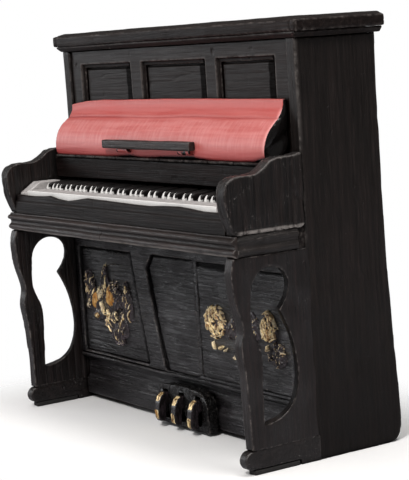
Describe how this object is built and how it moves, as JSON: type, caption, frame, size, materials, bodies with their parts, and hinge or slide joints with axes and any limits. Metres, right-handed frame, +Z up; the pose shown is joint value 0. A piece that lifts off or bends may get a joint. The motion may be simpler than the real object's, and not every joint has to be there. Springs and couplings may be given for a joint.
{
  "type": "miniature upright piano",
  "caption": "Miniature upright piano with fretted trusses, curved red fallboard with a music ledge, hinged top lid, working keys and working pedals.",
  "frame": {"origin": "centre of the bounding footprint, on the floor plane", "axes": "+Z up, +X to the player's right, keyboard faces -Y"},
  "size_m": [0.131, 0.0554, 0.1191],
  "materials": {
    "black_case": "brushed black paint over carved grain, satin",
    "red_board": "chalky brushed red paint, satin",
    "white_key": "hand painted off-white",
    "black_key": "hand painted black, satin",
    "gilt_ornament": "black with dry-brushed gold",
    "gilt_pedal": "dark with dry-brushed gold",
    "hinge_brass": "blackened brass",
    "steel": "blackened steel",
    "inner_wood": "dark stained wood",
    "key_block_paint": "thin off-white paint",
    "foot_felt": "matt black pad"
  },
  "bodies": {
    "case": {"back_panel": "black_case", "back_screws": "steel", "balance_rail": "inner_wood", "bottom_board": "inner_wood", "bottom_rail": "black_case", "cornice_frame": "black_case", "fallboard_hinge_leaf": "hinge_brass", "fallboard_hinge_pin": "hinge_brass", "fallboard_shelf": "inner_wood", "foot_pads": "foot_felt", "front_moulding": "black_case", "key_bed": "inner_wood", "key_blocks": "key_block_paint", "key_frame_rails": "inner_wood", "key_slip": "black_case", "left_arm": "black_case", "left_foot": "black_case", "left_side_panel": "black_case", "left_truss": "black_case", "lid_hinge_leaf": "hinge_brass", "lid_hinge_pin": "hinge_brass", "lower_field_centre": "black_case", "lower_field_left": "black_case", "lower_field_right": "black_case", "lower_panel": "black_case", "moulding_returns": "black_case", "nameboard": "black_case", "ornament_left": "gilt_ornament", "ornament_right": "gilt_ornament", "pedal_housing": "black_case", "pedal_rod": "steel", "right_arm": "black_case", "right_foot": "black_case", "right_side_panel": "black_case", "right_truss": "black_case", "upper_inset_centre": "black_case", "upper_inset_left": "black_case", "upper_inset_right": "black_case", "upper_panel_frame": "black_case"},
    "lid": {"top_lid": "black_case", "lid_hinge_flap": "hinge_brass"},
    "fallboard_body": {"fallboard": "red_board", "fallboard_hinge_flap": "hinge_brass", "music_ledge": "black_case", "ledge_brackets": "black_case"},
    "left_pedal_body": {"left_pedal": "gilt_pedal"},
    "middle_pedal_body": {"middle_pedal": "gilt_pedal"},
    "right_pedal_body": {"right_pedal": "gilt_pedal"},
    "sharp_keys_a_body": {"sharp_keys_a": "black_key"},
    "sharp_keys_c_body": {"sharp_keys_c": "black_key"},
    "sharp_keys_d_body": {"sharp_keys_d": "black_key"},
    "sharp_keys_f_body": {"sharp_keys_f": "black_key"},
    "sharp_keys_g_body": {"sharp_keys_g": "black_key"},
    "white_keys_a_body": {"white_keys_a": "white_key"},
    "white_keys_b_body": {"white_keys_b": "white_key"},
    "white_keys_c_body": {"white_keys_c": "white_key"},
    "white_keys_d_body": {"white_keys_d": "white_key"},
    "white_keys_e_body": {"white_keys_e": "white_key"},
    "white_keys_f_body": {"white_keys_f": "white_key"},
    "white_keys_g_body": {"white_keys_g": "white_key"}
  },
  "joints": [
    {"name": "fallboard_hinge", "type": "hinge", "parent": "case", "child": "fallboard_body", "pos_m": [0, -0.01045, 0.0807], "axis": [1, 0, 0], "range_deg": [0, 146]},
    {"name": "lid_hinge", "type": "hinge", "parent": "case", "child": "lid", "pos_m": [0, 0.027, 0.115], "axis": [-1, 0, 0], "range_deg": [0, 100]},
    {"name": "pedal_left", "type": "hinge", "parent": "case", "child": "left_pedal_body", "pos_m": [-0.0039, 0.00385, 0.0076], "axis": [1, 0, 0], "range_deg": [0, 5]},
    {"name": "pedal_middle", "type": "hinge", "parent": "case", "child": "middle_pedal_body", "pos_m": [0.0049, 0.00385, 0.0076], "axis": [1, 0, 0], "range_deg": [0, 5]},
    {"name": "pedal_right", "type": "hinge", "parent": "case", "child": "right_pedal_body", "pos_m": [0.0137, 0.00385, 0.0076], "axis": [1, 0, 0], "range_deg": [0, 5]},
    {"name": "sharp_key_a", "type": "hinge", "parent": "case", "child": "sharp_keys_a_body", "pos_m": [0, -0.00415, 0.068], "axis": [1, 0, 0], "range_deg": [0, 2.5]},
    {"name": "sharp_key_c", "type": "hinge", "parent": "case", "child": "sharp_keys_c_body", "pos_m": [0, -0.00415, 0.068], "axis": [1, 0, 0], "range_deg": [0, 2.5]},
    {"name": "sharp_key_d", "type": "hinge", "parent": "case", "child": "sharp_keys_d_body", "pos_m": [0, -0.00415, 0.068], "axis": [1, 0, 0], "range_deg": [0, 2.5]},
    {"name": "sharp_key_f", "type": "hinge", "parent": "case", "child": "sharp_keys_f_body", "pos_m": [0, -0.00415, 0.068], "axis": [1, 0, 0], "range_deg": [0, 2.5]},
    {"name": "sharp_key_g", "type": "hinge", "parent": "case", "child": "sharp_keys_g_body", "pos_m": [0, -0.00415, 0.068], "axis": [1, 0, 0], "range_deg": [0, 2.5]},
    {"name": "white_key_a", "type": "hinge", "parent": "case", "child": "white_keys_a_body", "pos_m": [0, -0.00415, 0.068], "axis": [1, 0, 0], "range_deg": [0, 2.5]},
    {"name": "white_key_b", "type": "hinge", "parent": "case", "child": "white_keys_b_body", "pos_m": [0, -0.00415, 0.068], "axis": [1, 0, 0], "range_deg": [0, 2.5]},
    {"name": "white_key_c", "type": "hinge", "parent": "case", "child": "white_keys_c_body", "pos_m": [0, -0.00415, 0.068], "axis": [1, 0, 0], "range_deg": [0, 2.5]},
    {"name": "white_key_d", "type": "hinge", "parent": "case", "child": "white_keys_d_body", "pos_m": [0, -0.00415, 0.068], "axis": [1, 0, 0], "range_deg": [0, 2.5]},
    {"name": "white_key_e", "type": "hinge", "parent": "case", "child": "white_keys_e_body", "pos_m": [0, -0.00415, 0.068], "axis": [1, 0, 0], "range_deg": [0, 2.5]},
    {"name": "white_key_f", "type": "hinge", "parent": "case", "child": "white_keys_f_body", "pos_m": [0, -0.00415, 0.068], "axis": [1, 0, 0], "range_deg": [0, 2.5]},
    {"name": "white_key_g", "type": "hinge", "parent": "case", "child": "white_keys_g_body", "pos_m": [0, -0.00415, 0.068], "axis": [1, 0, 0], "range_deg": [0, 2.5]}
  ]
}
